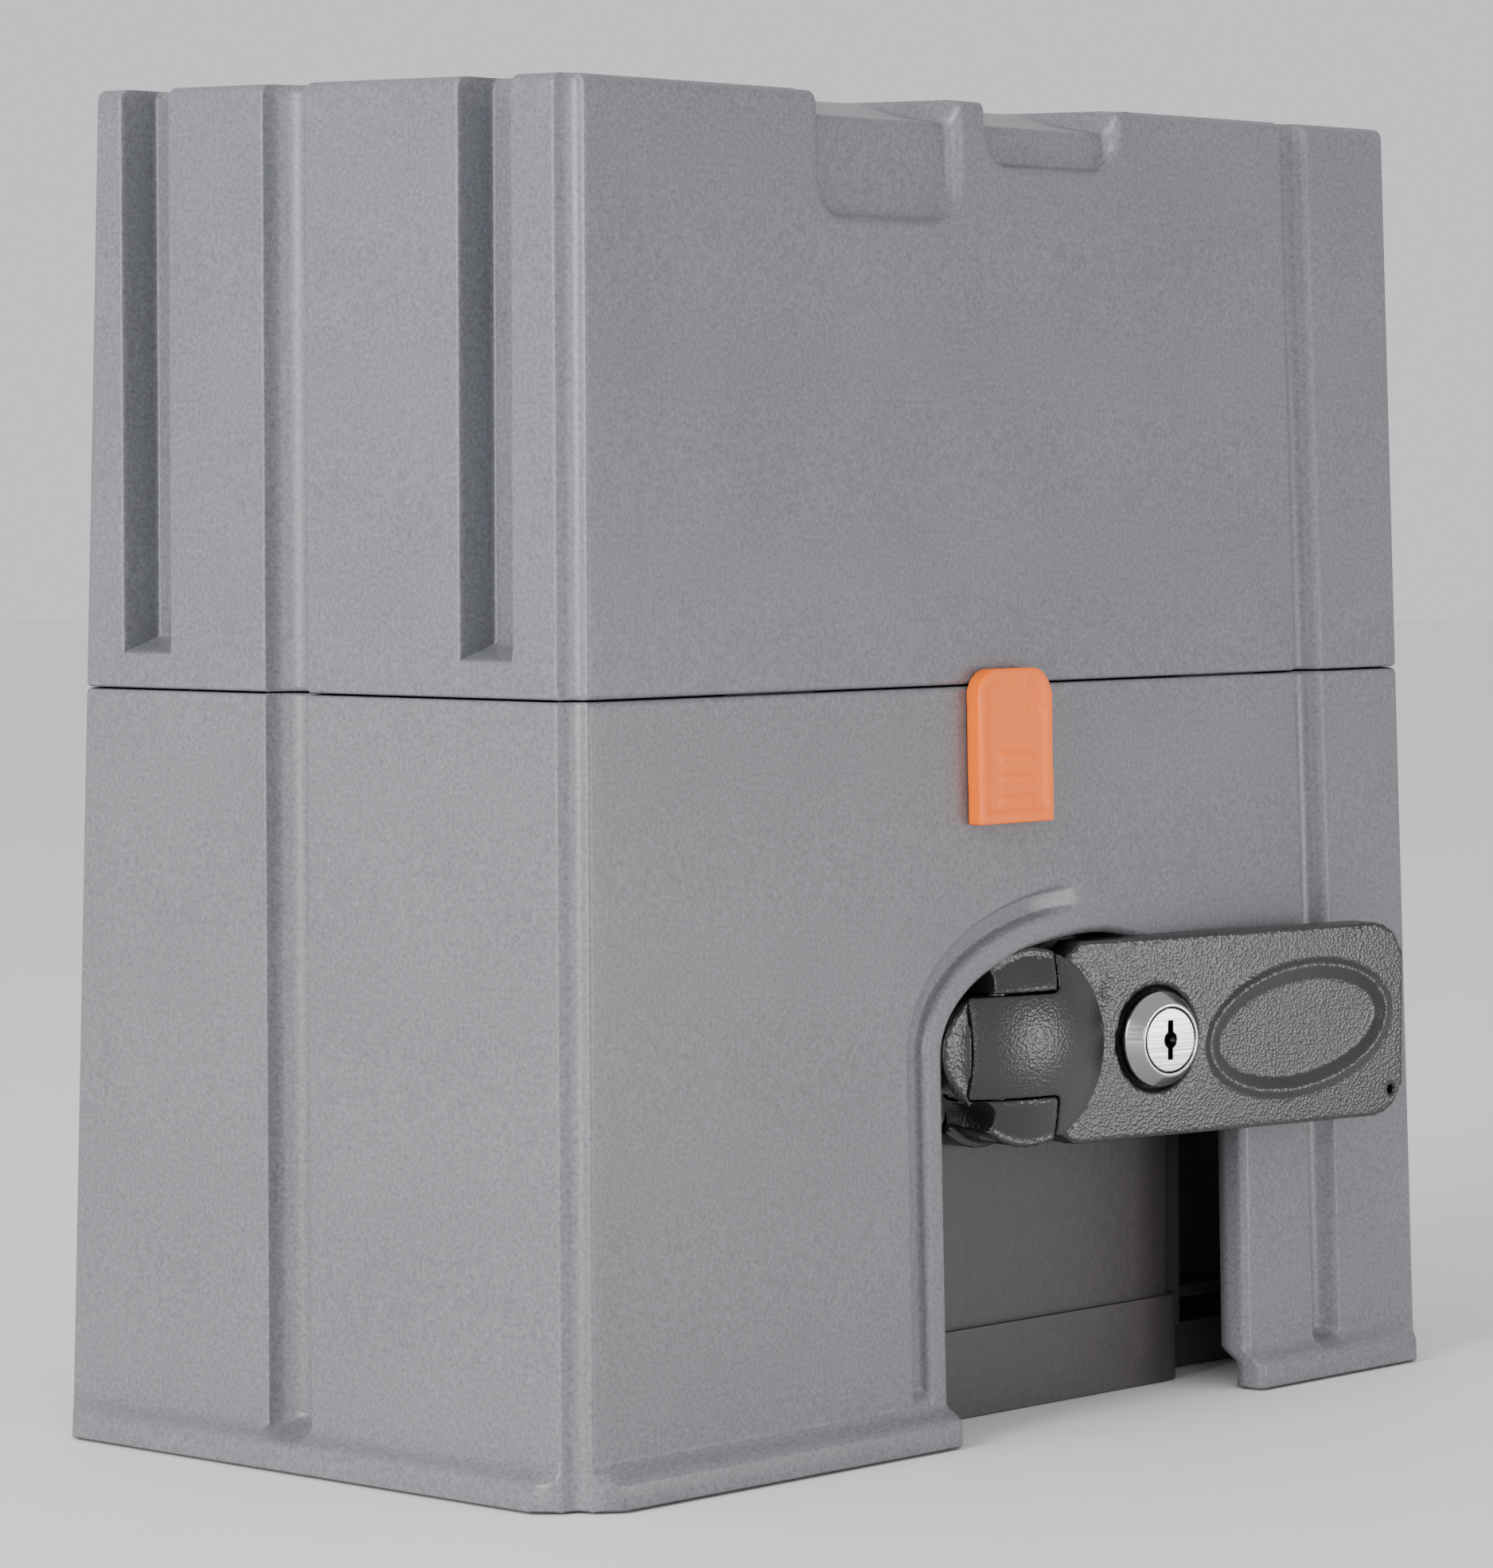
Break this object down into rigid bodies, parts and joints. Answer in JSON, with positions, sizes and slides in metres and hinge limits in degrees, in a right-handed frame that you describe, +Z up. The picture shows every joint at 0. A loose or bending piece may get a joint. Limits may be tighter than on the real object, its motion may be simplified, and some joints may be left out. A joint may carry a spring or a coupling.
{
  "type": "sliding gate operator",
  "caption": "Sliding gate operator: two-part ribbed cover over a worm gearmotor with rear rack pinion and key-locked release lever.",
  "frame": {"origin": "middle of the base plate's underside, where the unit stands on the ground", "axes": "+X along the front face to the right, +Y to the rear, towards the rack, +Z up; the front face looks along -Y"},
  "size_m": [0.2876, 0.2113, 0.2835],
  "materials": {
    "cover_grey": "fine-textured moulded plastic, satin",
    "cap_orange": "soft satin moulded plastic",
    "gearbox_black": "satin black paint on a casting",
    "gasket_black": "matt",
    "zinc_steel": "zinc plated",
    "bearing_steel": "ground",
    "machined_steel": "machined",
    "bronze": "machined bronze",
    "spring_steel": "drawn wire",
    "lever_black": "textured black powder coat",
    "lock_chrome": "polished",
    "motor_aluminium": "die cast",
    "laminations": "stacked laminations, varnished",
    "winding_copper": "varnished enamelled copper",
    "tray_black": "moulded",
    "board_green": "solder mask",
    "transformer_grey": "varnished",
    "relay_blue": "moulded",
    "terminal_green": "moulded",
    "button_red": "moulded",
    "capacitor_white": "moulded"
  },
  "bodies": {
    "drive_unit": {"lower_cover": "cover_grey", "gearbox_housing": "gearbox_black", "gearbox_cover": "gearbox_black", "gearbox_gasket": "gasket_black", "gearbox_screws": "zinc_steel", "cover_screws": "zinc_steel", "front_bearing": "bearing_steel", "rear_bearing": "bearing_steel", "shaft_seal": "gasket_black", "release_hub": "lever_black", "hub_screws": "zinc_steel", "hinge_pin": "machined_steel", "lock_keeper": "zinc_steel", "worm_bearing": "bearing_steel", "motor_flange": "motor_aluminium", "motor_end_cap": "motor_aluminium", "flange_bearing": "bearing_steel", "cap_bearing": "bearing_steel", "stator_core": "laminations", "lower_winding": "winding_copper", "upper_winding": "winding_copper", "motor_bolts": "zinc_steel", "board_tray": "tray_black", "control_board": "board_green", "transformer": "transformer_grey", "relays": "relay_blue", "terminal_strip": "terminal_green", "board_screws": "zinc_steel", "port_socket": "tray_black", "capacitor": "capacitor_white", "capacitor_clamp": "zinc_steel", "limit_sensor": "tray_black", "sensor_bracket": "zinc_steel", "cable_gland": "tray_black"},
    "upper_cover": {"upper_cover": "cover_grey"},
    "port_cap": {"port_cap": "cap_orange"},
    "output": {"output_shaft": "machined_steel", "worm_wheel": "bronze", "output_pinion": "machined_steel", "pinion_key": "machined_steel", "pinion_washer": "zinc_steel", "pinion_bolt": "zinc_steel", "clutch_spring": "spring_steel"},
    "clutch": {"clutch_collar": "machined_steel", "clutch_pin": "machined_steel"},
    "release_rod": {"release_rod": "machined_steel"},
    "lever": {"release_lever": "lever_black", "lock_housing": "lock_chrome", "lock_nut": "zinc_steel"},
    "lock_plug": {"lock_plug": "lock_chrome", "lock_cam": "zinc_steel"},
    "rotor": {"worm_shaft": "machined_steel", "rotor_core": "laminations"},
    "program_button": {"program_button": "button_red"},
    "travel_button": {"travel_button": "tray_black"}
  },
  "joints": [
    {"name": "upper_cover_lift", "type": "slide", "parent": "drive_unit", "child": "upper_cover", "axis": [0, 0, 1], "range_m": [0, 0.15]},
    {"name": "port_cap_pull", "type": "slide", "parent": "drive_unit", "child": "port_cap", "axis": [0, -1, 0], "range_m": [0, 0.03]},
    {"name": "lever_swing", "type": "hinge", "parent": "drive_unit", "child": "lever", "pos_m": [-0.00521, -0.06962, 0.081], "axis": [0, 0, -1], "range_deg": [0, 80]},
    {"name": "lock_turn", "type": "hinge", "parent": "lever", "child": "lock_plug", "pos_m": [0.03594, -0.08094, 0.0806], "axis": [-0.1736, -0.9848, 0], "range_deg": [0, 90]},
    {"name": "rod_push", "type": "slide", "parent": "drive_unit", "child": "release_rod", "axis": [0, 1, 0], "range_m": [0, 0.0055]},
    {"name": "output_spin", "type": "hinge", "parent": "drive_unit", "child": "output", "pos_m": [0, 0, 0.081], "axis": [0, 1, 0], "continuous": true},
    {"name": "clutch_slide", "type": "slide", "parent": "output", "child": "clutch", "axis": [0, 1, 0], "range_m": [0, 0.0055], "deforming": ["clutch_spring"]},
    {"name": "rotor_spin", "type": "hinge", "parent": "drive_unit", "child": "rotor", "pos_m": [0.04, 0, 0.081], "axis": [0, 0, 1], "continuous": true},
    {"name": "program_press", "type": "slide", "parent": "drive_unit", "child": "program_button", "axis": [0, 1, 0], "range_m": [0, 0.0004], "stiffness_N_per_m": 2500},
    {"name": "travel_press", "type": "slide", "parent": "drive_unit", "child": "travel_button", "axis": [0, 1, 0], "range_m": [0, 0.0004], "stiffness_N_per_m": 2500}
  ],
  "couplings": [
    {"joint": "rod_push", "follows": "lever_swing", "m_per_rad": 0.0039},
    {"joint": "clutch_slide", "follows": "lever_swing", "m_per_rad": 0.0039},
    {"joint": "rotor_spin", "follows": "output_spin", "ratio": 30}
  ]
}
